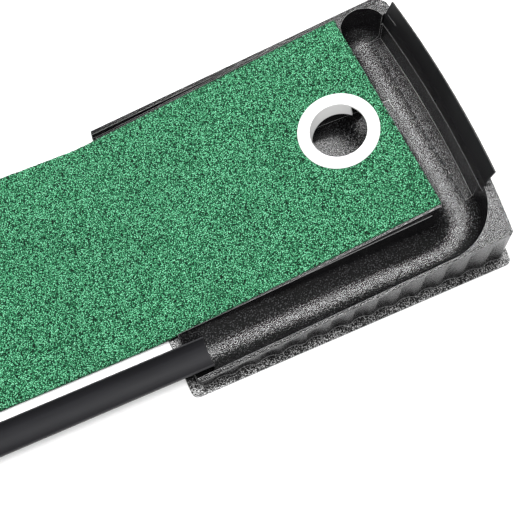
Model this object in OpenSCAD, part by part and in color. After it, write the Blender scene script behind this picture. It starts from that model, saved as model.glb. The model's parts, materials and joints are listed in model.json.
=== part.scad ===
// Practice putting mat with a ball-return tray: a long turf mat runs up a formed plastic ramp to a cup,
// a gutter behind and beside the ramp catches the ball, and an open track carries it back.
// Lengths are in millimetres. The model is drawn with x = 0 at the tray's front edge and y = 0 on the
// mat's centre line, then shifted so that the origin is at the middle of its footprint, on the floor.

/* [Mat] */
// Width of the mat
mat_w = 300; // [280:1:304]
// Length of the mat, cup end to free end
mat_l = 2740; // [2600:10:3000]
// Thickness of the turf pile and its woven base
turf_t = 3.5; // [2:0.1:5]
// Thickness of the rubber backing
backing_t = 1.5; // [1:0.1:2.5]
// Corner radius of the mat's free end
mat_corner_r = 4; // [2:1:12]

/* [Tray] */
// Length of the tray at its near side
tray_l = 438; // [434:1:442]
// Thickness of the formed sheet
sheet_t = 2; // [1.6:0.1:2.2]
// Rise of the ramp for each millimetre of length
ramp_slope = 0.2; // [0.19:0.005:0.205]
// Where the ramp ends and the mat is cut
ramp_end = 366; // [364:1:367]
// Height of the rim at its front, on the gutter's side
rim_front_h = 17.6; // [16:0.2:19]
// Rise of the rim towards the rear, for each millimetre
rim_slope = 0.12; // [0.118:0.001:0.122]
// Height of the rim at its front, on the far side
far_front_h = 9.8; // [9:0.2:12]

/* [Gutter] */
// Width of the gutter between its walls
gutter_w = 62; // [60:1:62]
// Height of the gutter's floor at its outlet
outlet_h = 5; // [4.6:0.2:6]
// Fall of the gutter along its side run, for each millimetre
side_fall = 0.022; // [0.018:0.001:0.024]
// Fall of the gutter along its rear run, for each millimetre
rear_fall = 0.02; // [0.016:0.001:0.022]

/* [Cup] */
// Distance from the tray's front edge to the cup
cup_x = 301; // [296:1:303]
// Radius of the hole that the ball drops through
cup_r = 37; // [34:0.5:37]
// Radius of the ring that shows on the turf
ring_r = 53; // [48:0.5:54]
// Depth of the cup's wall
cup_depth = 25; // [18:1:26]

/* [Backstop] */
// Length of the panel behind the gutter
backstop_l = 278; // [270:1:279]
// Height of the panel's top edge above the floor
backstop_top = 100; // [96:1:106]

/* [Track] */
// Outer radius of the half-round track
track_r = 19.5; // [18.5:0.5:20]
// Wall thickness of the track
track_t = 1.6; // [1.2:0.1:2]
// Length of one track section
section_l = 450; // [430:10:460]

/* [Hidden] */
$fn = 96;

over = 1;              // how far a cutter runs past what it cuts
tall = 130;            // higher than anything on the tray
wide = 900;            // wider than anything on the tray
bow_fn = 720;          // segments of the wide arcs
ramp_deg = atan(ramp_slope);

// mat
mat_t = turf_t + backing_t;
half_w = mat_w / 2;
bend_x = -(sheet_t + 0.3) / ramp_slope;   // the mat leaves the floor here, just ahead of the tray
bend_miter = tan(ramp_deg / 2);           // the bend's miter, for each millimetre of thickness
mat_end_x = ramp_end - mat_l;
roll_n = 5;                               // pieces that curl up at the free end
roll_pitch = 120;
roll_x = mat_end_x + roll_n * roll_pitch; // where the curl starts
cup_clear = 0.6;                          // between the cup's wall and the edge of the turf

// hook-and-loop strips between the ramp and the mat
strip_t = 0.6;
strip_gap = 0.3;
strip_w = 25;
strip_l = 180;
strip_x = 45;
strip_y = 105;
ramp_gap = 2 * strip_t + strip_gap;       // between the tray's ramp and the mat's underside

// tray outline
near_flange_y = -231;
near_rim_y = near_flange_y + 12.2;
far_rim_y = 162;
far_flange_y = far_rim_y + 5;
foot_out = 2.5;                           // the skirt's foot stands out from the rim by this much
draft_deg = atan(foot_out / 70);
front_wall_x = 12;
far_front_x = 15;                         // the far rim starts further back, beside the mat
rim_tilt_deg = atan(0.029);               // the rim also rises towards the far side
rim_deg = atan(rim_slope);
far_rim_deg = atan(0.163);
bow_mid_y = 12;                           // the rear edge bows out furthest here
rim_bow_r = 1450;
rear_flange = 8;
bow_sag = rim_bow_r - sqrt(pow(rim_bow_r, 2) - pow(bow_mid_y - near_rim_y, 2));
rim_back_x = tray_l - rear_flange + bow_sag;
rim_bow_x = rim_back_x - rim_bow_r;       // centre of the rear edge's arc
near_corner_r = 9;
skirt_corner_r = 17;      // the skirt's near rear corner in plan, before the lean trims it towards the rim
far_front_corner_r = 8;
far_rear_corner_r = 34;

// platform that carries the mat
platform_near_y = -153.5;
platform_far_y = 153.5;
lip_w = 3;
lip_h = 3;
groove_w = 4.5;

// gutter
gutter_half = gutter_w / 2;
gutter_y = platform_near_y - gutter_half + 0.7;    // centre line beside the ramp
gutter_x = ramp_end + 2.3 + gutter_half;           // centre line behind the ramp
turn_r = 49;                                       // centre-line radius of the corner
turn_x = gutter_x - turn_r;
turn_y = gutter_y + turn_r;
far_end_y = 127;                                   // where the rear run's rounded end begins
bow_past = 5;                                      // how far the rear wall's bow runs past that
bow_floor_h = 5;                                   // its foot, above the gutter's lowest line
floor_r = 43.5;                                    // hollow of the gutter's floor
corner_r = 6;                                      // between the floor and the walls
corner_deg = 40;                                   // steepness of the floor where that corner starts
wall_bow_r = 1550;                                 // the rear wall bows like the rim
wall_back_x = 436.8;
wall_bow_x = wall_back_x - wall_bow_r;
post_r = 6;                                        // corner of the platform, inside the gutter's turn
pit_r = cup_r + 4.5;                               // the passage under the mat, from the cup to the gutter
pit_floor_h = 21;
pit_fall_deg = 1.4;

// flutes in the near skirt
flute_n = 13;
flute_pitch = 31;
flute_r = 26;
flute_x = 25;

// cup ring
ring_t = 2.2;
ring_wall = 2;
ring_edge = 1.2;
exit_deg = 80;                                     // the cup's wall is open this far round, at the rear

// backstop
panel_t = 1.8;
panel_r = wall_bow_r - 0.6;                        // inner face of the panel's foot
panel_fold_h = 77;
panel_lean = 8.2;
panel_foot_h = 59;
panel_mid_y = -8;
panel_half_deg = asin(backstop_l / 2 / wall_bow_r);
panel_mid_deg = asin((panel_mid_y - bow_mid_y) / wall_bow_r);
recess_depth = 3.4;
recess_gap = 0.4;
tongue_pitch = 124;
tongue_w = 20;
tongue_reach = 6.6;
tongue_drop = 9;
slot_clear = 0.6;
notch_w = 7;
notch_h = 6;

// track
track_y = -190;
track_in = 38;                                     // how far the track reaches into the gutter
track_x = track_in - 3 * section_l;                // free end, near the floor
track_free_h = 1.5;
track_top_h = outlet_h + side_fall * (track_in - front_wall_x) + 1.2;
track_deg = asin((track_top_h - track_free_h) / (3 * section_l));
joint_gap = 0.4;
coupler_l = 60;
coupler_t = 1.5;
coupler_gap = 0.15;
coupler_rib = 1.1;
rib_l = 4;

// the whole model's middle, which becomes the origin
mid_x = (mat_end_x + rim_back_x + rear_flange) / 2;
mid_y = (near_flange_y + far_flange_y) / 2;

module placed() {
    translate([-mid_x, -mid_y, 0]) children();
}

// ---------------------------------------------------------------- shared shapes

module box(x0, x1, y0, y1, z0, z1) {
    translate([x0, y0, z0]) cube([x1 - x0, y1 - y0, z1 - z0]);
}

// Everything below a plane that rises along x by deg; z0 is its height at x = 0
module below_plane(z0, deg) {
    translate([0, 0, z0]) rotate([0, -deg, 0]) box(-wide, wide, -wide, wide, -300, 0);
}

// Along the ramp: x runs up the slope from the bend, z stands on the mat's underside
module on_ramp() {
    translate([bend_x, 0, 0]) rotate([0, -ramp_deg, 0]) children();
}

function along_ramp(x) = (x - bend_x) / cos(ramp_deg);

// ---------------------------------------------------------------- tray

// What lies outside a round corner: centre, radius, and the directions where the arc starts and ends
module corner_waste(x, y, r, a0, a1) {
    far = 3 * r;
    difference() {
        translate([x, y]) polygon([[0, 0], [far * cos(a0), far * sin(a0)],
            [far * (cos(a0) + cos(a1)), far * (sin(a0) + sin(a1))], [far * cos(a1), far * sin(a1)]]);
        translate([x, y]) circle(r);
    }
}

// The tray's plan: straight sides, a bowed rear edge and four round corners
module outline(x0, near_y, far_y, bow_r, near_rear_r) {
    difference() {
        intersection() {
            translate([x0, near_y]) square([wide, far_y - near_y]);
            translate([rim_bow_x, bow_mid_y]) circle(bow_r, $fn = bow_fn);
        }
        corner_waste(x0 + near_corner_r, near_y + near_corner_r, near_corner_r, 180, 270);
        corner_waste(x0 + far_front_corner_r, far_y - far_front_corner_r, far_front_corner_r, 90, 180);
        rear_corner_waste(near_y + near_rear_r, near_rear_r, bow_r, -90);
        rear_corner_waste(far_y - far_rear_corner_r, far_rear_corner_r, bow_r, 90);
    }
}

module rear_corner_waste(y, r, bow_r, side_deg) {
    a = asin((y - bow_mid_y) / (bow_r - r));
    corner_waste(rim_bow_x + (bow_r - r) * cos(a), y, r, a, side_deg);
}

// The space under the rim's top face, lowered by drop
module under_rim(drop) {
    intersection() {
        translate([0, near_rim_y, rim_front_h - drop]) rotate([rim_tilt_deg, -rim_deg, 0])
            box(-wide, wide, -wide, wide, -300, 0);
        union() {
            box(-over, wide, -wide, 0, -300, 300);
            below_plane(far_front_h - drop, far_rim_deg);
        }
    }
}

// The rim's solid envelope; side and end draw in its skirts, drop lowers its top
module rim_block(drop, side, end) {
    near_y = near_rim_y - foot_out + side;
    far_y = far_rim_y + foot_out - side;
    bow_r = rim_bow_r + foot_out - end;
    intersection() {
        under_rim(drop);
        translate([0, near_y, 0]) rotate([-draft_deg, 0, 0]) box(-over, wide, 0, wide, -50, 200);
        translate([0, far_y, 0]) rotate([draft_deg, 0, 0]) box(-over, wide, -wide, 0, -50, 200);
        translate([rim_bow_x, bow_mid_y, 0])
            cylinder(h = tall, r1 = bow_r, r2 = bow_r - tall * tan(draft_deg), $fn = bow_fn);
        translate([0, 0, -over]) linear_extrude(tall + over)
            outline(front_wall_x + end, near_y, far_y, bow_r, skirt_corner_r);
    }
}

// The platform under the mat
module ramp_block() {
    intersection() {
        box(3, ramp_end + 3, platform_near_y, platform_far_y, 0, tall);
        on_ramp() box(0, wide, -wide, wide, -300, -ramp_gap);
    }
}

// The space above the platform that the mat and the ball use; e draws its floor down and its sides out
module ramp_well(e) {
    intersection() {
        box(-over, ramp_end + 3 + e, platform_near_y - e, platform_far_y + groove_w + e, -20, tall);
        on_ramp() box(-20, wide, -wide, wide, -ramp_gap - e, 300);
    }
}

// The narrow groove between the platform and the far rim
module far_groove(e) {
    intersection() {
        box(20 - e, ramp_end + 3, platform_far_y - e, platform_far_y + groove_w + e, -20, tall);
        on_ramp() box(0, wide, -wide, wide, -ramp_gap - 6 - e, 300);
    }
}

// One side of the gutter's section: hollow floor, round corner, steep wall; e draws it outwards
function gutter_side_points(e) = concat(
    [for (a = [0 : 5 : corner_deg]) [(floor_r + e) * sin(a), floor_r - (floor_r + e) * cos(a)]],
    [for (a = [corner_deg + 9 : 9 : 85])
        [(floor_r - corner_r) * sin(corner_deg) + (corner_r + e) * sin(a),
         floor_r - (floor_r - corner_r) * cos(corner_deg) - (corner_r + e) * cos(a)]],
    [[gutter_half + 0.5 + e, tall]]);

module gutter_section(e) {
    right = gutter_side_points(e);
    last = len(right) - 1;
    polygon(concat(right, [for (i = [last : -1 : 1]) [-right[i][0], right[i][1]]]));
}

// The rear wall's bow, cut beyond the straight run
module bowed_wall(e) {
    intersection() {
        translate([wall_bow_x, bow_mid_y, 0]) cylinder(h = tall, r = wall_bow_r + e, $fn = bow_fn);
        box(gutter_x + 10, gutter_x + 60, turn_y, far_end_y + bow_past + e, bow_floor_h - e, tall);
    }
}

// The gutter as one cutter: side run, corner, rear run and its round end, in one tilted plane
module gutter(e) {
    difference() {
        translate([front_wall_x, gutter_y, outlet_h])
        rotate([atan(rear_fall), -atan(side_fall), 0])
        translate([-front_wall_x, -gutter_y, 0]) {
            translate([-60, gutter_y, 0]) rotate([90, 0, 90]) linear_extrude(turn_x + 60) gutter_section(e);
            translate([turn_x, turn_y, 0]) rotate([0, 0, -90])
                rotate_extrude(angle = 90) translate([turn_r, 0]) gutter_section(e);
            translate([gutter_x, far_end_y, 0]) rotate([90, 0, 0])
                linear_extrude(far_end_y - turn_y) gutter_section(e);
            translate([gutter_x, far_end_y, 0])
                rotate_extrude() polygon(concat(gutter_side_points(e), [[0, tall]]));
            bowed_wall(e);
        }
        // the platform's corner stays sharper than the gutter's turn
        translate([0, 0, -20]) linear_extrude(tall + 20) difference() {
            translate([turn_x, platform_near_y + e])
                square([ramp_end + 1 - e - turn_x, turn_y - platform_near_y - e]);
            corner_waste(ramp_end + 1 - e - post_r, platform_near_y + e + post_r, post_r, 0, -90);
        }
    }
}

// The passage from the cup to the gutter, open at the top and covered by the mat
module pit(e) {
    intersection() {
        translate([0, 0, -over]) linear_extrude(tall) {
            translate([cup_x, 0]) circle(pit_r + e);
            translate([cup_x, -pit_r - e]) square([gutter_x - cup_x, 2 * (pit_r + e)]);
        }
        translate([cup_x - pit_r, 0, pit_floor_h - e]) rotate([0, pit_fall_deg, 0])
            box(-wide, wide, -wide, wide, 0, 300);
    }
}

// Upright niches along the near skirt, with arched tops that follow the rim
module flutes() {
    arch_r = flute_pitch * 0.62;
    for (i = [0 : flute_n - 1]) {
        x = flute_x + (i + 0.5) * flute_pitch;
        top = rim_front_h + rim_slope * x - 3.5;
        intersection() {
            translate([x, near_rim_y + 0.8 - flute_r, sheet_t]) cylinder(h = tall, r = flute_r);
            union() {
                box(x - flute_pitch, x + flute_pitch, near_flange_y - wide, near_rim_y + over, 0,
                    max(sheet_t, top - arch_r));
                translate([x, near_rim_y + over, top - arch_r]) rotate([90, 0, 0])
                    cylinder(h = wide, r = arch_r);
            }
        }
    }
}

// The shallow recess in the rear wall that the backstop's foot stands in
module backstop_recess(e) {
    half_deg = panel_half_deg + asin((1 + e) / wall_bow_r);
    translate([wall_bow_x, bow_mid_y, 0]) rotate([0, 0, panel_mid_deg - half_deg])
        rotate_extrude(angle = 2 * half_deg, $fn = bow_fn)
            translate([wall_bow_r - 4, panel_foot_h - recess_gap - e])
                square([4 + recess_depth + e, tall]);
}

// Places its children at the backstop's three tongues; z = 0 is the rim's top there
module at_tongues() {
    for (i = [-1 : 1]) {
        a = panel_mid_deg + i * asin(tongue_pitch / wall_bow_r);
        y = bow_mid_y + wall_bow_r * sin(a);
        z = rim_front_h + rim_slope * (wall_bow_x + wall_bow_r * cos(a) + tongue_reach)
            + tan(rim_tilt_deg) * (y - near_rim_y);
        translate([wall_bow_x, bow_mid_y, z]) rotate([0, 0, a]) translate([panel_r + panel_t, 0, 0]) children();
    }
}

// The hollow under the formed sheet
module tray_hollow() {
    difference() {
        rim_block(sheet_t, sheet_t + foot_out + 0.8, sheet_t);
        ramp_well(sheet_t);
        far_groove(sheet_t);
        gutter(sheet_t);
        pit(sheet_t);
        backstop_recess(sheet_t);
    }
}

module tray_flange() {
    linear_extrude(sheet_t)
        outline(0, near_flange_y, far_flange_y, rim_bow_r + rear_flange, near_corner_r);
}

// The far rim's front end is cut back, and its corner is round
module far_front_cut() {
    translate([0, 0, -over]) linear_extrude(tall) {
        translate([-over, half_w - 2]) square([far_front_x + over, wide]);
        corner_waste(far_front_x + far_front_corner_r, far_flange_y - far_front_corner_r,
            far_front_corner_r, 90, 180);
    }
}

// Low beads that keep the mat in place on the ramp
module lips() {
    for (y = [platform_near_y, platform_far_y - lip_w + 1.2])
        intersection() {
            box(20, ramp_end - 3, y, y + lip_w, 0, tall);
            on_ramp() box(0, wide, -wide, wide, -ramp_gap - 1, lip_h);
        }
}

module tray() {
    color([0.05, 0.05, 0.055]) placed() difference() {
        union() {
            difference() {
                union() {
                    difference() {
                        rim_block(0, 0, 0);
                        ramp_well(0);
                        far_groove(0);
                    }
                    ramp_block();
                }
                gutter(0);
                pit(0);
                flutes();
            }
            tray_flange();
            lips();
        }
        far_front_cut();
        backstop_recess(0);
        at_tongues() translate([tongue_reach - panel_t - slot_clear, -tongue_w / 2 - slot_clear, -20])
            cube([panel_t + 2 * slot_clear, tongue_w + 2 * slot_clear, 30]);
        translate([0, 0, -20]) linear_extrude(20) square(wide, center = true);
        tray_hollow();
    }
}

// ---------------------------------------------------------------- backstop

// A panel that stands in the rear wall's recess and leans back above its fold, bowed like the wall.
// Three tongues reach over the rim and drop into slots.
module backstop() {
    color([0.06, 0.06, 0.065]) placed() difference() {
        union() {
            translate([wall_bow_x, bow_mid_y, 0]) rotate([0, 0, panel_mid_deg - panel_half_deg])
                rotate_extrude(angle = 2 * panel_half_deg, $fn = bow_fn) polygon([
                    [panel_r, panel_foot_h], [panel_r + panel_t, panel_foot_h],
                    [panel_r + panel_t, panel_fold_h], [panel_r + panel_t + panel_lean, backstop_top],
                    [panel_r + panel_lean, backstop_top], [panel_r, panel_fold_h]]);
            at_tongues() {
                translate([-over, -tongue_w / 2, 1]) cube([tongue_reach + over, tongue_w, panel_t]);
                translate([tongue_reach - panel_t, -tongue_w / 2, -tongue_drop])
                    cube([panel_t, tongue_w, tongue_drop + 1 + panel_t]);
            }
        }
        // pointed notches in the panel's foot, one in front of each tongue
        for (i = [-1 : 1])
            translate([wall_bow_x, bow_mid_y, panel_foot_h])
            rotate([0, 0, panel_mid_deg + i * asin(tongue_pitch / wall_bow_r)])
                translate([panel_r - 5, 0, 0]) rotate([90, 0, 90]) linear_extrude(panel_t + 6)
                    polygon([[-notch_w / 2, -over], [notch_w / 2, -over], [0, notch_h]]);
    }
}

// ---------------------------------------------------------------- cup ring

// At the cup's centre, on the turf's surface and square to the ramp
module at_cup() {
    on_ramp() translate([along_ramp(cup_x), 0, mat_t + 0.1]) children();
}

module cup_ring() {
    color([0.93, 0.93, 0.92]) placed() at_cup() difference() {
        rotate_extrude($fn = 144) polygon([
            [cup_r, -cup_depth], [cup_r + ring_wall, -cup_depth], [cup_r + ring_wall, 0],
            [ring_r, 0], [ring_r, ring_t - ring_edge], [ring_r - ring_edge, ring_t],
            [cup_r + 0.8, ring_t], [cup_r, ring_t - 0.8]]);
        // the way out for the ball, below the turf
        translate([0, 0, -cup_depth - over]) linear_extrude(cup_depth + over - 2)
            polygon([[0, 0], [90, -90 * tan(exit_deg / 2)], [90, 90 * tan(exit_deg / 2)]]);
    }
}

// ---------------------------------------------------------------- mat

// The part of one layer that lies on the ramp, between two heights above the mat's underside
module ramp_layer(h0, h1) {
    end = along_ramp(ramp_end);
    placed() on_ramp() difference() {
        translate([0, half_w, 0]) rotate([90, 0, 0]) linear_extrude(mat_w) polygon([
            [h0 * bend_miter, h0], [end, h0], [end, h1], [h1 * bend_miter, h1]]);
        translate([along_ramp(cup_x), 0, -over]) cylinder(h = 20, r = cup_r + ring_wall + cup_clear);
    }
}

// The part that lies on the floor, up to the curl
module flat_layer(h0, h1) {
    placed() translate([0, half_w, 0]) rotate([90, 0, 0]) linear_extrude(mat_w) polygon([
        [roll_x, h0], [bend_x - h0 * bend_miter, h0], [bend_x - h1 * bend_miter, h1], [roll_x, h1]]);
}

// One of the pieces that curl up; the last one has the free end's round corners
module roll_layer(i, h0, h1) {
    x = roll_x - i * roll_pitch;
    r = mat_corner_r;
    placed() translate([0, 0, h0]) linear_extrude(h1 - h0) difference() {
        translate([x, -half_w]) square([roll_pitch, mat_w]);
        if (i == roll_n) {
            corner_waste(x + r, -half_w + r, r, 180, 270);
            corner_waste(x + r, half_w - r, r, 90, 180);
        }
    }
}

module turf_color() { color([0.13, 0.55, 0.32]) children(); }
module backing_color() { color([0.12, 0.12, 0.12]) children(); }

module turf_ramp() { turf_color() ramp_layer(backing_t, mat_t); }
module turf_flat() { turf_color() flat_layer(backing_t, mat_t); }
module turf_roll(i) { turf_color() roll_layer(i, backing_t, mat_t); }
module backing_ramp() { backing_color() ramp_layer(0, backing_t); }
module backing_flat() { backing_color() flat_layer(0, backing_t); }
module backing_roll(i) { backing_color() roll_layer(i, 0, backing_t); }

// A fastening strip between the ramp and the mat, from height h0 to h1 above the mat's underside
module strip(side, h0, h1) {
    placed() on_ramp() box(strip_x, strip_x + strip_l, side * strip_y - strip_w / 2,
        side * strip_y + strip_w / 2, h0, h1);
}

module hook_strip(side) { color([0.08, 0.08, 0.08]) strip(side, -ramp_gap, -ramp_gap + strip_t); }
module loop_strip(side) { color([0.1, 0.1, 0.1]) strip(side, -strip_t, 0); }

// ---------------------------------------------------------------- track

// Along the track's own axis: x runs up the track from its free end
module along_track() {
    placed() translate([track_x, track_y, track_free_h]) rotate([0, -track_deg, 0]) children();
}

// A half-round channel that lies along x, with its lowest line at z = 0
module half_pipe(r, t, l, trim) {
    rotate([90, 0, 90]) linear_extrude(l) difference() {
        translate([0, r]) circle(r, $fn = 72);
        translate([0, r]) circle(r - t, $fn = 72);
        translate([-2 * r, r - trim]) square([4 * r, 2 * r]);
    }
}

module track_section(i) {
    color([0.1, 0.1, 0.11]) along_track() translate([i * section_l + joint_gap / 2, 0, 0])
        half_pipe(track_r, track_t, section_l - joint_gap, 0);
}

// A short sleeve under a joint, with a raised rib round each end
module coupler(i) {
    r = track_r + coupler_gap + coupler_t;
    color([0.09, 0.09, 0.1]) along_track()
        translate([i * section_l - coupler_l / 2, 0, -coupler_gap - coupler_t]) {
            half_pipe(r, coupler_t, coupler_l, 2);
            for (x = [0, coupler_l - rib_l]) translate([x, 0, -coupler_rib])
                half_pipe(r + coupler_rib, coupler_rib + 0.4, rib_l, 3 + coupler_rib);
        }
}

tray();
backstop();
cup_ring();
hook_strip(-1);  // hook_strip_near
hook_strip(1);  // hook_strip_far
loop_strip(-1);  // loop_strip_near
loop_strip(1);  // loop_strip_far
turf_ramp();
turf_flat();
turf_roll(1);  // turf_roll_1
turf_roll(2);  // turf_roll_2
turf_roll(3);  // turf_roll_3
turf_roll(4);  // turf_roll_4
turf_roll(5);  // turf_roll_5
backing_ramp();
backing_flat();
backing_roll(1);  // backing_roll_1
backing_roll(2);  // backing_roll_2
backing_roll(3);  // backing_roll_3
backing_roll(4);  // backing_roll_4
backing_roll(5);  // backing_roll_5
track_section(2);  // track_upper
track_section(1);  // track_middle
track_section(0);  // track_lower
coupler(2);  // coupler_upper
coupler(1);  // coupler_lower
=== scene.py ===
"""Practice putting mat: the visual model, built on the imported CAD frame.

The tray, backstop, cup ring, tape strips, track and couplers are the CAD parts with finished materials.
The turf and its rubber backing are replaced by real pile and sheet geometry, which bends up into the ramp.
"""

import json
import math

import bpy
import numpy as np
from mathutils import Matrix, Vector


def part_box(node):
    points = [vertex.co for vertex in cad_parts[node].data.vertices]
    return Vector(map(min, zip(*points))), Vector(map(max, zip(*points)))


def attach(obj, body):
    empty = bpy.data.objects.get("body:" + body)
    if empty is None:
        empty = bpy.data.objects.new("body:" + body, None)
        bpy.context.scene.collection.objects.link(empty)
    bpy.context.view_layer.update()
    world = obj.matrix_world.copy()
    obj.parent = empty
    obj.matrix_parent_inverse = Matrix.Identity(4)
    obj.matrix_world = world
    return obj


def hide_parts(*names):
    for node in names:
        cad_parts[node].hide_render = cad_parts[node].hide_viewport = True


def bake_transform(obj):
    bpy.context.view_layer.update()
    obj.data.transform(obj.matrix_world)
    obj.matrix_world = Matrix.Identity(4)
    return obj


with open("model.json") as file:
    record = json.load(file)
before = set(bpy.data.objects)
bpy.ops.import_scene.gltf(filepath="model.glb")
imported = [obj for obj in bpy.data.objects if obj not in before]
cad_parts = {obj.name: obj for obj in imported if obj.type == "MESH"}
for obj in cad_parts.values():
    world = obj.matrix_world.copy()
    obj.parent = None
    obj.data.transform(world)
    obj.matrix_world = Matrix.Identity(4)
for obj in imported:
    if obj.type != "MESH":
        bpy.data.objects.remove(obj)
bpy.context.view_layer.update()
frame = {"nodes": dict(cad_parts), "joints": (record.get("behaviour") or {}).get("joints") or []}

SEED = 281
CURLS = [f"roll_{number}" for number in range(1, 6)]

# ---------------------------------------------------------------- the mat's layout, read from the frame
flat_lo, flat_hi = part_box("turf_flat")
ramp_lo, ramp_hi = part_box("turf_ramp")
ring_lo, ring_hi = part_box("cup_ring")
Y_NEAR, Y_FAR = flat_lo.y, flat_hi.y
Y_MID = (Y_NEAR + Y_FAR) / 2
Z_TURF, Z_BACKING = flat_hi.z, flat_lo.z  # top of the pile, top of the backing
LIFT_AXIS = Vector(next(j["axis"] for j in frame["joints"] if j["name"] == "ring_lift"))
SLOPE = math.asin(-LIFT_AXIS.x)  # the ramp's rise, in radians
X_BEND = ramp_lo.x
RAMP_LENGTH = (ramp_hi.z - Z_TURF) / math.sin(SLOPE)
X_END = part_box("turf_roll_5")[0].x
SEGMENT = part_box("turf_roll_1")[1].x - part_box("turf_roll_1")[0].x
X_ROLL = flat_lo.x  # the first hinge of the roll
CUP_X = (ring_lo.x + ring_hi.x) / 2
CUP_ALONG = X_BEND + (CUP_X - X_BEND) / math.cos(SLOPE)  # the cup's place along the unfolded mat
MAT_TOP_END = X_BEND + RAMP_LENGTH
HOLE_RADIUS = 0.0396
BEND_HALF = 0.012  # half the length over which the sheet bends into the ramp

# ---------------------------------------------------------------- the printed markings' sizes
STATION = 0.610  # distance between the numbered circles
LINE_Y = 0.040  # each aiming line's distance from the centre
LINE_HALF = 0.0032  # half an aiming line's width
LINE_AFTER, LINE_BEFORE = 0.036, 0.035  # gaps between a line's ends and the middles of the circles
LAST_LINE_END = 0.108  # where the line nearest the cup ends, past the middle of its circle
TICK_REACH = 0.038  # how far a tick runs outwards from its line
CIRCLE_INNER, CIRCLE_OUTER = 0.0205, 0.0270
NUMERAL_TALL, STROKE_HALF = 0.024, 0.0021
DASH_Y, DASH_REACH, DASH_HALF = 0.065, 0.010, 0.0028  # the small marks outside the lines
PRINT_HALF = 0.08  # half the width that is searched for print
PRINT_PITCH = 0.0013  # between the tips of printed pile
PRINT_LEAN = 0.4  # how far a printed tip may lean, as a share of that pitch
PRINT_RISE, PRINT_DEPTH = 0.0004, 0.0021  # the tips above the pile's top, and their feet below it


def on_mat(along, y, above):
    """World points for places on the unfolded mat: along it, across it, and above its underside."""
    run = along - X_BEND
    bent = (run + BEND_HALF) ** 2 / (4 * BEND_HALF)
    ramp = np.where(run > BEND_HALF, run, np.where(run < -BEND_HALF, 0.0, bent))
    angle = SLOPE * np.clip((run + BEND_HALF) / (2 * BEND_HALF), 0, 1)
    x = X_BEND + run - ramp * (1 - math.cos(SLOPE)) - above * np.sin(angle)
    z = ramp * math.sin(SLOPE) + above * np.cos(angle)
    return np.stack([x + Z_TURF * np.sin(angle), y, z + Z_TURF * (1 - np.cos(angle))], axis=-1)


# ---------------------------------------------------------------- materials
class Shader:
    """A material's node tree, with short calls for the nodes used here."""

    def __init__(self, name):
        self.material = bpy.data.materials.new(name)
        self.material.use_nodes = True
        self.tree = self.material.node_tree
        self.surface = self.tree.nodes["Principled BSDF"]

    def node(self, kind, values=None, **settings):
        made = self.tree.nodes.new("ShaderNode" + kind)
        for key, value in settings.items():
            setattr(made, key, value)
        for key, value in (values or {}).items():
            self.put(made.inputs[key], value)
        return made

    def put(self, socket, value):
        if isinstance(value, bpy.types.NodeSocket):
            self.tree.links.new(value, socket)
        else:
            socket.default_value = value

    def set(self, **values):
        for key, value in values.items():
            self.put(self.surface.inputs[key.replace("_", " ")], value)

    def object_place(self):
        return self.node("TexCoord").outputs["Object"]

    def mat_place(self):
        """Where a point was on the unfolded mat, so that patterns bend with it."""
        return self.node("Attribute", attribute_name="place").outputs["Vector"]

    def noise(self, place, per_metre, detail=2.0, rough=0.5):
        return self.node(
            "TexNoise", {"Vector": place, "Scale": per_metre, "Detail": detail, "Roughness": rough}
        ).outputs["Fac"]

    def cells(self, place, per_metre, randomness=1.0):
        """Distance from the nearest of many scattered points, and a colour of its own for each of them."""
        values = {"Vector": place, "Scale": per_metre, "Randomness": randomness}
        made = self.node("TexVoronoi", values)
        return made.outputs["Distance"], made.outputs["Color"]

    def ramp(self, fac, stops):
        made = self.node("ValToRGB", {"Fac": fac})
        band = made.color_ramp
        while len(band.elements) < len(stops):
            band.elements.new(0.5)
        for element, (at, colour) in zip(band.elements, stops):
            element.position = at
            element.color = (*colour, 1.0)
        return made.outputs["Color"]

    def math(self, operation, a, b=0.0, c=0.0, clamp=False):
        made = self.node("Math", operation=operation, use_clamp=clamp)
        for socket, value in zip(made.inputs, (a, b, c)):
            self.put(socket, value)
        return made.outputs[0]

    def mix(self, fac, a, b, blend="MIX"):
        made = self.node("Mix", data_type="RGBA", blend_type=blend)
        self.put(made.inputs[0], fac)
        for socket, value in ((made.inputs[6], a), (made.inputs[7], b)):
            self.put(socket, value if isinstance(value, bpy.types.NodeSocket) else (*value, 1.0))
        return made.outputs[2]

    def spread(self, value, low, high):
        """Maps 0..1 to low..high."""
        return self.math("MULTIPLY_ADD", value, high - low, low)

    def bumps(self, layers, base=None):
        """Stacks bump maps: each layer is (height, distance in metres, strength)."""
        normal = base
        for height, distance, strength in layers:
            values = {"Height": height, "Distance": distance, "Strength": strength}
            if normal is not None:
                values["Normal"] = normal
            normal = self.node("Bump", values).outputs["Normal"]
        return normal

    def rounded(self, radius):
        """The normal of the surface with its sharp edges eased over this radius."""
        return self.node("Bevel", {"Radius": radius}, samples=6).outputs["Normal"]

    def edges(self, normal):
        """1 on an eased edge, 0 on the open surface."""
        true = self.node("NewGeometry").outputs["True Normal"]
        dot = self.node("VectorMath", operation="DOT_PRODUCT")
        self.put(dot.inputs[0], normal)
        self.put(dot.inputs[1], true)
        off = self.math("SUBTRACT", 1.0, dot.outputs["Value"])
        return self.math("MULTIPLY_ADD", off, 8.0, -0.4, clamp=True)  # slight bends stay at 0


# Painted light on the tray's flange is whole up to the first height, and fades over the second.
FLANGE_TOP, FLANGE_FADE = 0.0026, 0.0008


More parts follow.
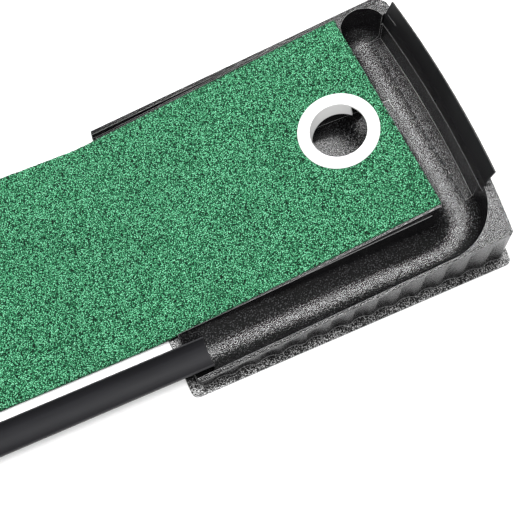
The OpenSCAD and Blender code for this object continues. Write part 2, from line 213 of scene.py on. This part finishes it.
def pebbled_plastic():
    """The tray: glossy black moulded plastic with a pebble grain, edges lightened partly as wear and
    partly as painted highlight, and painted light on the flange.
    """
    s = Shader("pebbled_black_plastic")
    place = s.object_place()
    pebbles = s.noise(place, 640, 1.0, 0.5)
    fine = s.noise(place, 1500, 2.0, 0.6)
    scuffs = s.noise(place, 14, 4.0, 0.6)
    eased = s.rounded(0.0012)
    wear_and_edge_highlight = s.edges(eased)
    base = s.ramp(pebbles, [
        (0.44, (0.002, 0.002, 0.0022)),
        (0.56, (0.007, 0.007, 0.0075)),
        (0.68, (0.036, 0.036, 0.037)),
    ])
    # painted light: everything below the flange's top is coloured pale grey with the grain, as if lit
    painted_flange_light = s.ramp(pebbles, [
        (0.46, (0.012, 0.012, 0.012)),
        (0.56, (0.12, 0.12, 0.12)),
        (0.66, (0.50, 0.50, 0.50)),
    ])
    height = s.node("SeparateXYZ", {"Vector": place}).outputs["Z"]
    low = s.math("MULTIPLY_ADD", height, -1.0 / FLANGE_FADE, FLANGE_TOP / FLANGE_FADE + 1.0, clamp=True)
    # painted shade: the flange's painted light is taken away in the skirt's recesses, where shade falls
    sheltered = s.node("AmbientOcclusion", {"Distance": 0.014}, samples=8).outputs["AO"]
    clear_of_painted_shade = s.math("MULTIPLY_ADD", sheltered, 2.6, -1.1, clamp=True)
    base = s.mix(s.math("MULTIPLY", low, clear_of_painted_shade), base, painted_flange_light)
    shade = s.ramp(scuffs, [(0.3, (0.75, 0.75, 0.75)), (0.75, (1.15, 1.15, 1.15))])
    base = s.mix(1.0, base, shade, "MULTIPLY")
    # edges lightened, partly as wear and partly as painted highlight
    base = s.mix(s.math("MULTIPLY", wear_and_edge_highlight, 0.75), base, (0.34, 0.34, 0.343))
    rough = s.math("ADD", s.spread(scuffs, 0.14, 0.20), s.math("MULTIPLY", fine, 0.05))
    s.set(Base_Color=base, Roughness=rough, Specular_IOR_Level=0.75)
    s.set(Normal=s.bumps([(pebbles, 0.00052, 1.0), (fine, 0.00003, 0.5)], eased))
    return s.material


def smooth_plastic():
    """The backstop: smooth black plastic with a faint flow pattern and fine handling marks."""
    s = Shader("smooth_black_plastic")
    place = s.object_place()
    flow = s.noise(place, 9, 3.0, 0.5)
    fine = s.noise(place, 900, 2.0, 0.5)
    eased = s.rounded(0.0008)
    wear_and_edge_highlight = s.edges(eased)
    base = s.ramp(flow, [(0.3, (0.006, 0.006, 0.0065)), (0.8, (0.013, 0.013, 0.014))])
    # edges lightened, partly as wear and partly as painted highlight
    base = s.mix(s.math("MULTIPLY", wear_and_edge_highlight, 0.5), base, (0.06, 0.06, 0.062))
    rough = s.math("ADD", s.spread(flow, 0.30, 0.44), s.math("MULTIPLY", fine, 0.08))
    s.set(Base_Color=base, Roughness=rough, Specular_IOR_Level=0.5)
    s.set(Normal=s.bumps([(fine, 0.0002, 0.25)], eased))
    return s.material


def white_plastic():
    """The cup ring: white moulded plastic, faintly clouded."""
    s = Shader("white_plastic")
    place = s.object_place()
    cloud = s.noise(place, 30, 3.0, 0.5)
    fine = s.noise(place, 1400, 2.0, 0.5)
    base = s.ramp(cloud, [(0.3, (0.80, 0.80, 0.79)), (0.75, (0.86, 0.86, 0.855))])
    rough = s.math("ADD", s.spread(cloud, 0.30, 0.40), s.math("MULTIPLY", fine, 0.06))
    s.set(Base_Color=base, Roughness=rough)
    s.set(Normal=s.bumps([(fine, 0.0002, 0.2)], s.rounded(0.0006)))
    return s.material


def tape(name, per_metre, dark, light, depth):
    """Hook tape or loop tape: a woven black band with rows of hooks, or a mat of loops."""
    s = Shader(name)
    place = s.object_place()
    nubs = s.cells(place, per_metre)[0]
    fuzz = s.noise(place, per_metre * 2.5, 3.0, 0.7)
    base = s.ramp(s.math("ADD", nubs, s.math("MULTIPLY", fuzz, 0.4)), [(0.2, light), (0.9, dark)])
    s.set(Base_Color=base, Roughness=s.spread(fuzz, 0.6, 0.95))
    s.set(Normal=s.bumps([(nubs, depth, 0.9), (fuzz, depth / 3, 0.6)]))
    return s.material


def track_plastic(name, dark, light, low, high):
    """The return track: extruded dark grey plastic, satin, with faint lines along its length."""
    s = Shader(name)
    place = s.object_place()
    stretch = s.node("Mapping", {"Vector": place, "Scale": (0.03, 1.0, 1.0)}).outputs["Vector"]
    lines = s.noise(stretch, 700, 3.0, 0.6)
    cloud = s.noise(place, 12, 3.0, 0.5)
    fine = s.noise(place, 1800, 2.0, 0.5)
    eased = s.rounded(0.0006)
    base = s.ramp(s.math("MULTIPLY_ADD", lines, 0.35, s.math("MULTIPLY", cloud, 0.65)),
                  [(0.3, dark), (0.7, light)])
    base = s.mix(s.math("MULTIPLY", s.edges(eased), 0.4), base, (0.12, 0.12, 0.125))
    rough = s.math("ADD", s.spread(cloud, low, high), s.math("MULTIPLY", fine, 0.08))
    s.set(Base_Color=base, Roughness=rough)
    s.set(Normal=s.bumps([(lines, 0.0002, 0.3), (fine, 0.0001, 0.3)], eased))
    return s.material


def dyed_pile(name, stops):
    """Dense curled pile in one dye: each tuft its own tone, with painted shade down between tufts, softly
    clouded.
    """
    s = Shader(name)
    place = s.mat_place()
    from_tip, colour = s.cells(place, 620, 0.8)
    own = s.node("SeparateColor", {"Color": colour}).outputs[0]
    # painted shade: each tuft darker towards its edge, as shade between tufts
    tuft_tone_and_gap_shade = s.math("MULTIPLY_ADD", from_tip, -1.1, s.math("MULTIPLY_ADD", own, 0.26, 0.89))
    fibre = s.noise(place, 1500, 2.0, 0.7)
    broad = s.noise(place, 11, 4.0, 0.6)
    pick = s.math("ADD", s.math("MULTIPLY", tuft_tone_and_gap_shade, 0.8), s.math("MULTIPLY", fibre, 0.2))
    base = s.ramp(pick, stops)
    shade = s.ramp(broad, [(0.3, (0.90, 0.90, 0.90)), (0.7, (1.06, 1.06, 1.06))])
    s.set(Base_Color=s.mix(1.0, base, shade, "MULTIPLY"), Roughness=s.spread(fibre, 0.7, 1.0))
    s.set(Specular_IOR_Level=0.15, Sheen_Weight=0.03, Sheen_Roughness=0.5)
    s.set(Normal=s.bumps([(fibre, 0.0009, 0.8)]))
    return s.material


def rubber():
    """The mat's backing: dark foamed rubber with a fine open grain."""
    s = Shader("foamed_rubber")
    place = s.mat_place()
    pores = s.cells(place, 700)[0]
    cloud = s.noise(place, 25, 3.0, 0.6)
    base = s.ramp(cloud, [(0.3, (0.012, 0.012, 0.012)), (0.8, (0.028, 0.028, 0.027))])
    s.set(Base_Color=base, Roughness=s.spread(cloud, 0.75, 0.95))
    s.set(Normal=s.bumps([(pores, 0.0006, 0.7)]))
    return s.material


def floor_paint():
    """The pale floor, with a faint cloudiness."""
    s = Shader("pale_floor")
    cloud = s.noise(s.object_place(), 2, 3.0, 0.5)
    s.set(Base_Color=s.ramp(cloud, [(0.2, (0.90, 0.90, 0.90)), (0.8, (0.93, 0.93, 0.93))]))
    s.set(Roughness=s.spread(cloud, 0.8, 0.95), Specular_IOR_Level=0.1)
    return s.material


GREEN = [
    (0.30, (0.002, 0.006, 0.003)),
    (0.42, (0.008, 0.052, 0.024)),
    (0.56, (0.029, 0.190, 0.084)),
    (0.68, (0.090, 0.385, 0.192)),
    (0.80, (0.320, 0.700, 0.490)),
]
WHITE = [(0.15, (0.42, 0.52, 0.45)), (0.30, (0.74, 0.78, 0.74)), (0.75, (0.86, 0.87, 0.86))]
BROWN = [(0.15, (0.05, 0.05, 0.03)), (0.50, (0.15, 0.080, 0.055)), (0.85, (0.26, 0.14, 0.11))]


# ---------------------------------------------------------------- mesh helpers
def new_piece(name, points, faces, material, places=None, smooth=False):
    """A mesh object from points and faces; places are where its points lie on the unfolded mat."""
    mesh = bpy.data.meshes.new(name)
    mesh.from_pydata(points.tolist(), [], faces)
    mesh.materials.append(material)
    if places is not None:
        store = mesh.attributes.new("place", "FLOAT_VECTOR", "POINT")
        store.data.foreach_set("vector", np.ascontiguousarray(places, np.float32).ravel())
    if smooth:
        mesh.polygons.foreach_set("use_smooth", [True] * len(mesh.polygons))
    mesh.update()
    made = bpy.data.objects.new(name, mesh)
    bpy.context.scene.collection.objects.link(made)
    return made


def stops_between(start, end, pitch):
    """Evenly spaced places from start to end, about pitch apart."""
    return np.linspace(start, end, max(2, round(abs(end - start) / pitch) + 1))


def solid_sheet(along, across, keep):
    """Faces of a closed sheet on a grid: its top, its underside and the walls round its edge.

    keep says which cells of the grid are solid. Underside points follow the top points in order.
    """
    rows, cols = len(along), len(across)
    number = np.arange(rows * cols).reshape(rows, cols)
    under = number + rows * cols
    i, j = np.nonzero(keep)
    a, b, c, d = number[i, j], number[i + 1, j], number[i + 1, j + 1], number[i, j + 1]
    top = np.stack([a, b, c, d], 1)
    bottom = np.stack([under[i, j], under[i, j + 1], under[i + 1, j + 1], under[i + 1, j]], 1)
    faces = [*top.tolist(), *bottom.tolist()]
    padded = np.pad(keep, 1)
    for di, dj, (p, q) in ((-1, 0, (0, 3)), (0, 1, (3, 2)), (1, 0, (2, 1)), (0, -1, (1, 0))):
        open_side = ~padded[1 + i + di, 1 + j + dj]
        first, second = top[open_side][:, p], top[open_side][:, q]
        lower = rows * cols
        faces += np.stack([first, second, second + lower, first + lower], 1).tolist()
    return faces


def drop_unused(points, places, faces):
    """The same mesh without the points that no face uses."""
    used = np.unique(np.concatenate([np.asarray(f) for f in faces]))
    new_number = np.full(len(points), -1)
    new_number[used] = np.arange(len(used))
    return points[used], places[used], [[int(new_number[v]) for v in f] for f in faces]


def hole_snapped(along, y, cells):
    """Pulls grid points onto the cup hole's edge, and clears the cells inside it."""
    if CUP_ALONG > along.max() + 0.1 or CUP_ALONG < along.min() - 0.1:
        return along, y, cells
    off_x, off_y = along - CUP_ALONG, y - Y_MID
    radius = np.hypot(off_x, off_y)
    inside = radius < HOLE_RADIUS
    whole = inside[:-1, :-1] & inside[1:, :-1] & inside[1:, 1:] & inside[:-1, 1:]
    pull = np.where(inside, HOLE_RADIUS / np.maximum(radius, 1e-6), 1.0)
    return CUP_ALONG + off_x * pull, Y_MID + off_y * pull, cells & ~whole


# ---------------------------------------------------------------- the turf
LEAN = 0.42  # how far a tuft may lean, as a share of the tufts' pitch
EDGE_LEAN = 0.35  # how much of that is left along the mat's long edges
TIP_HEIGHT = Z_TURF - 0.0006  # about where the tips of the tufts are
END_HEIGHT = Z_TURF - 0.0005  # where stretches meet
HOLE_EDGE_HEIGHT = Z_TURF - 0.0003
FIBRE_PITCH = 0.0017  # between loose fibres along a cut edge


def turf_points(along_stops, across_stops, rng):
    """Top and underside points of a stretch of pile, with each tuft leaning and standing its own way."""
    along, y = np.meshgrid(along_stops, across_stops, indexing="ij")
    rows, cols = along.shape
    keep = np.ones((rows - 1, cols - 1), bool)
    step = np.gradient(along_stops)[:, None]
    width = across_stops[1] - across_stops[0]
    along, y, keep = hole_snapped(along, y, keep)
    free = np.ones((rows, cols))
    free[[0, -1], :] = 0  # the ends stay straight, so that stretches meet
    free[:, [0, -1]] = EDGE_LEAN
    hole_edge = np.abs(np.hypot(along - CUP_ALONG, y - Y_MID) - HOLE_RADIUS) < 1e-5
    free[hole_edge] = 0
    top_along = along + free * step * rng.uniform(-LEAN, LEAN, (rows, cols))
    top_y = y + free * width * rng.uniform(-LEAN, LEAN, (rows, cols))
    height = TIP_HEIGHT + rng.uniform(-0.0007, 0.0005, (rows, cols)) * np.clip(free, 0.3, 1)
    height[hole_edge] = HOLE_EDGE_HEIGHT
    height[[0, -1], :] = END_HEIGHT
    points = np.concatenate([
        on_mat(top_along.ravel(), top_y.ravel(), height.ravel()),
        on_mat(along.ravel(), y.ravel(), np.full(along.size, Z_BACKING)),
    ])
    places = np.concatenate([
        np.stack([top_along.ravel(), top_y.ravel(), height.ravel()], 1),
        np.stack([along.ravel(), y.ravel(), np.full(along.size, Z_BACKING)], 1),
    ])
    return points, places, keep


def edge_tufts(start, end, rng, ends=()):
    """Loose fibres along the cut edges: short closed spikes leaning outwards."""
    roots, outward = [], []
    for y, way in ((Y_NEAR, -1.0), (Y_FAR, 1.0)):
        count = int(abs(end - start) / FIBRE_PITCH)
        roots.append(np.stack([rng.uniform(start, end, count), np.full(count, y)], 1))
        outward.append(np.tile([0.0, way], (count, 1)))
    for at, way in ends:
        count = int((Y_FAR - Y_NEAR) / FIBRE_PITCH)
        roots.append(np.stack([np.full(count, at), rng.uniform(Y_NEAR, Y_FAR, count)], 1))
        outward.append(np.tile([way, 0.0], (count, 1)))
    roots, outward = np.concatenate(roots), np.concatenate(outward)
    count = len(roots)
    sideways = np.stack([-outward[:, 1], outward[:, 0]], 1)
    low = rng.uniform(Z_BACKING + 0.0004, Z_TURF - 0.0012, count)
    reach = rng.uniform(0.0004, 0.0019, count)
    lean = rng.uniform(-0.0012, 0.0012, count)
    rise = rng.uniform(-0.0003, 0.0016, count)
    half = rng.uniform(0.0002, 0.0004, count)
    inner = roots - outward * 0.0006
    corners = [
        (inner + sideways * half[:, None], low),
        (inner - sideways * half[:, None], low),
        (inner, low + half * 2.4),
        (roots + outward * reach[:, None] + sideways * lean[:, None], low + rise),
    ]
    flat = np.stack([np.column_stack([xy, z]) for xy, z in corners], 1).reshape(-1, 3)
    points = on_mat(flat[:, 0], flat[:, 1], flat[:, 2])
    first = np.arange(count) * 4
    faces = []
    for a, b, c in ((0, 2, 1), (0, 1, 3), (1, 2, 3), (2, 0, 3)):
        faces += np.stack([first + a, first + b, first + c], 1).tolist()
    return points, flat, faces


def turf_piece(name, along_stops, across_stops, material, rng, end_fringe=()):
    """One stretch of turf: the pile and its loose edge fibres."""
    points, places, keep = turf_points(along_stops, across_stops, rng)
    faces = solid_sheet(along_stops, across_stops, keep)
    points, places, faces = drop_unused(points, places, faces)
    more, more_places, more_faces = edge_tufts(along_stops[0], along_stops[-1], rng, end_fringe)
    shift = len(points)
    faces += [[v + shift for v in f] for f in more_faces]
    points, places = np.concatenate([points, more]), np.concatenate([places, more_places])
    return new_piece(name, points, faces, material, places, smooth=True)


def backing_piece(name, along_stops, material):
    """One stretch of the rubber sheet under the pile, its long edges eased."""
    edge = 0.0004
    inner = stops_between(Y_NEAR + 0.005, Y_FAR - 0.005, 0.005)
    across = np.concatenate([[Y_NEAR, Y_NEAR + edge], inner, [Y_FAR - edge, Y_FAR]])
    along, y = np.meshgrid(along_stops, across, indexing="ij")
    keep = np.ones((along.shape[0] - 1, along.shape[1] - 1), bool)
    along, y, keep = hole_snapped(along, y, keep)
    under = np.zeros(along.shape)
    under[:, [0, -1]] = edge  # eased lower edges
    upper = np.full(along.shape, Z_BACKING - 0.00002)  # just under the pile
    flat = np.concatenate([
        np.stack([along.ravel(), y.ravel(), upper.ravel()], 1),
        np.stack([along.ravel(), y.ravel(), under.ravel()], 1),
    ])
    points = on_mat(flat[:, 0], flat[:, 1], flat[:, 2])
    points, places, faces = drop_unused(points, flat, solid_sheet(along_stops, across, keep))
    return new_piece(name, points, faces, material, places)


# ---------------------------------------------------------------- the printed markings
def arc(cx, cy, radius, start, end, count=24):
    turn = np.radians(np.linspace(start, end, count))
    return [(cx + radius * math.cos(t), cy + radius * math.sin(t)) for t in turn]


# Each numeral as strokes in a box one unit tall, x to the reader's right and y up.
NUMERALS = {
    "2": [arc(0, 0.25, 0.24, 165, -35) + [(-0.25, -0.5), (0.27, -0.5)]],
    "4": [[(0.13, -0.5), (0.13, 0.5), (-0.29, -0.18), (0.30, -0.18)]],
    "6": [arc(0, -0.24, 0.26, 0, 360), arc(0.24, -0.14, 0.50, 178, 112)],
    "8": [arc(0, 0.26, 0.22, 0, 360), arc(0, -0.24, 0.26, 0, 360)],
}


def stroke_distance(x, y, stroke):
    """Distance from each point to a stroke made of straight bits."""
    best = np.full(x.shape, 1e9)
    for (ax, ay), (bx, by) in zip(stroke, stroke[1:]):
        dx, dy = bx - ax, by - ay
        t = np.clip(((x - ax) * dx + (y - ay) * dy) / max(dx * dx + dy * dy, 1e-12), 0, 1)
        best = np.minimum(best, np.hypot(x - ax - t * dx, y - ay - t * dy))
    return best


def numeral_print(along, y, centre, digit):
    """A circle with its numeral, read from the free end of the mat."""
    right, up = -(y - Y_MID), along - centre
    radius = np.hypot(right, up)
    circle = (radius > CIRCLE_INNER) & (radius < CIRCLE_OUTER)
    strokes = [stroke_distance(right / NUMERAL_TALL, up / NUMERAL_TALL, s) for s in NUMERALS[digit]]
    return circle | (np.minimum.reduce(strokes) * NUMERAL_TALL < STROKE_HALF)


def white_print(along, y):
    """Which places on the mat are printed white: two broken aiming lines with ticks, and the numerals."""
    off = np.abs(y - Y_MID)
    white = np.zeros(along.shape, bool)
    for count, digit in enumerate("2468", start=1):
        centre = CUP_ALONG - count * STATION
        start = centre + LINE_AFTER
        end = centre + (STATION - LINE_BEFORE if count > 1 else LAST_LINE_END)
        on_line = (np.abs(off - LINE_Y) < LINE_HALF) & (along > start) & (along < end)
        beside = (off > LINE_Y - LINE_HALF) & (off < LINE_Y + TICK_REACH)
        on_tick = (np.abs(along - start - LINE_HALF) < LINE_HALF) & beside
        white |= on_line | on_tick | numeral_print(along, y, centre, digit)
    return white


def brown_print(along, y):
    """The small reddish marks outside the lines, level with each numeral."""
    off = np.abs(y - Y_MID)
    brown = np.zeros(along.shape, bool)
    for count in range(1, 5):
        centre = CUP_ALONG - count * STATION
        brown |= (np.abs(along - centre) < DASH_HALF) & (np.abs(off - DASH_Y) < DASH_REACH)
    return brown


def print_piece(name, start, end, where, material, rng):
    """Printed pile: the dyed tufts as their own low relief of tips, or None where there is no print."""
    along_stops = stops_between(start, end, PRINT_PITCH)
    across = stops_between(Y_MID - PRINT_HALF, Y_MID + PRINT_HALF, PRINT_PITCH)
    middle_along = (along_stops[:-1] + along_stops[1:]) / 2
    middle_across = (across[:-1] + across[1:]) / 2
    keep = where(*np.meshgrid(middle_along, middle_across, indexing="ij"))
    if not keep.any():
        return None
    along, y = np.meshgrid(along_stops, across, indexing="ij")
    free = np.ones(along.shape)
    free[[0, -1], :] = 0
    top_along = along + free * PRINT_PITCH * rng.uniform(-PRINT_LEAN, PRINT_LEAN, along.shape)
    top_y = y + free * PRINT_PITCH * rng.uniform(-PRINT_LEAN, PRINT_LEAN, along.shape)
    height = Z_TURF + PRINT_RISE + rng.uniform(-0.0005, 0.0004, along.shape)
    low = Z_TURF - PRINT_DEPTH
    flat = np.concatenate([
        np.stack([top_along.ravel(), top_y.ravel(), height.ravel()], 1),
        np.stack([along.ravel(), y.ravel(), np.full(along.size, low)], 1),
    ])
    points = on_mat(flat[:, 0], flat[:, 1], flat[:, 2])
    points, places, faces = drop_unused(points, flat, solid_sheet(along_stops, across, keep))
    return new_piece(name, points, faces, material, places)


# ---------------------------------------------------------------- the mat as a whole
def mat_stretches():
    """(number, start, end, body, next body) for each stretch of the roll.

    A stretch reaches half a segment to each side of its hinge, and the last one reaches the free end.
    """
    half = SEGMENT / 2
    stretches = []
    for number in range(len(CURLS)):
        hinge = X_ROLL - number * SEGMENT
        before = "mat" if number == 0 else CURLS[number - 1]
        end = X_END if number == len(CURLS) - 1 else hinge - half
        stretches.append((number + 1, hinge + half, end, before, CURLS[number]))
    return stretches


def bend_between(piece):
    """Bakes a stretch's placement into its mesh, without bending it across its hinge."""
    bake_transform(piece)


def build_unrolled_part(green, dyes, sheet, rng):
    """The ramp and the flat part, which ride on one body."""
    low_end = X_ROLL + SEGMENT / 2  # the roll's own pieces begin half a segment before its first hinge
    fine = X_BEND - 0.20  # the pile is finest on the ramp and just before it
    # each row: the CAD node, start and end, the tufts' pitch along and across, the ends with loose fibres
    for name, start, end, pitch_along, pitch_across, fringe in (
        ("turf_ramp", fine, MAT_TOP_END, 0.0019, 0.0022, [(MAT_TOP_END, 1.0)]),
        ("turf_flat", low_end, fine, 0.0036, 0.0033, []),
    ):
        along, across = stops_between(start, end, pitch_along), stops_between(Y_NEAR, Y_FAR, pitch_across)
        pile = turf_piece(f"{name}_pile", along, across, green, rng, fringe)
        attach(pile, "mat")
        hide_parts(name)
    base = backing_piece("backing_mat", stops_between(low_end, MAT_TOP_END, 0.005), sheet)
    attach(base, "mat")
    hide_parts("backing_ramp", "backing_flat")
    for kind, where, dye in dyes:
        mark = print_piece(f"print_{kind}_mat", low_end, X_BEND, where, dye, rng)
        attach(mark, "mat")


def build_rolled_part(green, dyes, sheet, rng):
    """The stretches of the free end, one across each hinge."""
    across = stops_between(Y_NEAR, Y_FAR, 0.0030)
    for number, start, end, before, after in mat_stretches():
        fringe = [(X_END, -1.0)] if number == len(CURLS) else []
        along = stops_between(start, end, 0.0032)[::-1]
        pile = turf_piece(f"turf_roll_{number}_pile", along, across, green, rng, fringe)
        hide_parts(f"turf_roll_{number}")
        base = backing_piece(f"backing_roll_{number}_sheet", stops_between(end, start, 0.004), sheet)
        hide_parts(f"backing_roll_{number}")
        marks = []
        for kind, where, dye in dyes:
            marks.append(print_piece(f"print_{kind}_roll_{number}", end, start, where, dye, rng))
        marks = [mark for mark in marks if mark]
        finishes = [(pile, "turf"), (base, "rubber_backing")] + [(mark, "turf") for mark in marks]
        for piece, finish in finishes:
            bend_between(piece)


def build_mat():
    """The turf, its backing and its print, over the whole length."""
    rng = np.random.default_rng(SEED)
    green, sheet = dyed_pile("turf_pile", GREEN), rubber()
    dyes = (
        ("white", white_print, dyed_pile("turf_white", WHITE)),
        ("brown", brown_print, dyed_pile("turf_brown", BROWN)),
    )
    build_unrolled_part(green, dyes, sheet, rng)
    build_rolled_part(green, dyes, sheet, rng)


# ---------------------------------------------------------------- the CAD parts that stay
def finish_cad_parts():
    """Gives each carried-over CAD node its material."""
    looks = {
        "formed_plastic": pebbled_plastic(),
        "smooth_plastic": smooth_plastic(),
        "white_plastic": white_plastic(),
        "hook_tape": tape("hook_tape", 620, (0.008, 0.008, 0.009), (0.06, 0.06, 0.065), 0.0008),
        "loop_tape": tape("loop_tape", 380, (0.010, 0.010, 0.011), (0.04, 0.04, 0.042), 0.0005),
        "track_plastic": track_plastic(
            "extruded_grey_plastic", (0.010, 0.010, 0.0115), (0.016, 0.016, 0.0182), 0.60, 0.72
        ),
        "coupler_plastic": track_plastic(
            "moulded_dark_plastic", (0.016, 0.016, 0.018), (0.028, 0.028, 0.030), 0.34, 0.46
        ),
    }
    for node in frame["nodes"].values():
        for place in node.material_slots:
            name = place.material.name.split(".")[0]
            if name in looks:
                place.material = looks[name]


# ---------------------------------------------------------------- floor, light and camera
def build_floor():
    size, low = 9.0, -0.0006
    corners = np.array([[-size, -size, low], [size, -size, low], [size, size, low], [-size, size, low]])
    floor = new_piece("floor", corners, [[0, 1, 2, 3]], floor_paint())


def soft_light(name, at, width, height, power, aim=None, mirrored=True):
    """A rectangular light that faces straight down, or towards aim."""
    data = bpy.data.lights.new(name, "AREA")
    data.shape, data.size, data.size_y, data.energy = "RECTANGLE", width, height, power
    lamp = bpy.data.objects.new(name, data)
    bpy.context.scene.collection.objects.link(lamp)
    lamp.location = at
    lamp.visible_glossy = mirrored  # a fill light adds brightness without its own highlight
    if aim is not None:
        lamp.rotation_mode = "QUATERNION"
        lamp.rotation_quaternion = (Vector(aim) - Vector(at)).to_track_quat("-Z", "Y")


def build_lights():
    """A strip that the glossy plastic mirrors, and fill lights that it doesn't."""
    world = bpy.data.worlds.new("studio")
    world.use_nodes = True
    background = world.node_tree.nodes["Background"]
    background.inputs["Color"].default_value = (1.0, 1.0, 1.0, 1.0)
    background.inputs["Strength"].default_value = 0.20
    bpy.context.scene.world = world
    soft_light("strip", (CUP_X + 0.40, Y_MID + 0.63, 2.0), 1.7, 0.14, 40.0)
    tray_middle = (CUP_X - 0.1, Y_MID, 0.0)
    soft_light("fill", (CUP_X - 0.3, Y_MID - 0.4, 2.4), 1.8, 1.8, 40.0, tray_middle, mirrored=False)
    soft_light("fill_near", (CUP_X - 0.2, Y_MID - 1.5, 1.2), 1.6, 0.8, 22.0, tray_middle, mirrored=False)
    soft_light("fill_far_end", (CUP_X - 2.0, Y_MID, 2.2), 1.8, 1.6, 44.0, mirrored=False)


def build_camera():
    """The main view: from the near side, high above the tray's end of the mat."""
    azimuth, elevation = math.radians(-24.255), math.radians(65.333)
    distance, lens = 1.32193, 71.53
    tray_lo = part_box("tray")[0]
    target = Vector((tray_lo.x + 0.151258, tray_lo.y + 0.141165, 0.0))  # a place in the tray, on the floor
    back = Vector((
        math.sin(azimuth) * math.cos(elevation),
        -math.cos(azimuth) * math.cos(elevation),
        math.sin(elevation),
    ))
    data = bpy.data.cameras.new("camera")
    data.sensor_width, data.lens = 36.0, lens
    data.clip_start, data.clip_end = 0.05, 30.0
    camera = bpy.data.objects.new("camera", data)
    bpy.context.scene.collection.objects.link(camera)
    camera.location = target + back * distance
    camera.rotation_mode = "QUATERNION"
    camera.rotation_quaternion = (-back).to_track_quat("-Z", "Y")
    bpy.context.scene.camera = camera
    bpy.context.scene.view_settings.view_transform = "Standard"


build_camera()
build_lights()
build_floor()
finish_cad_parts()
build_mat()
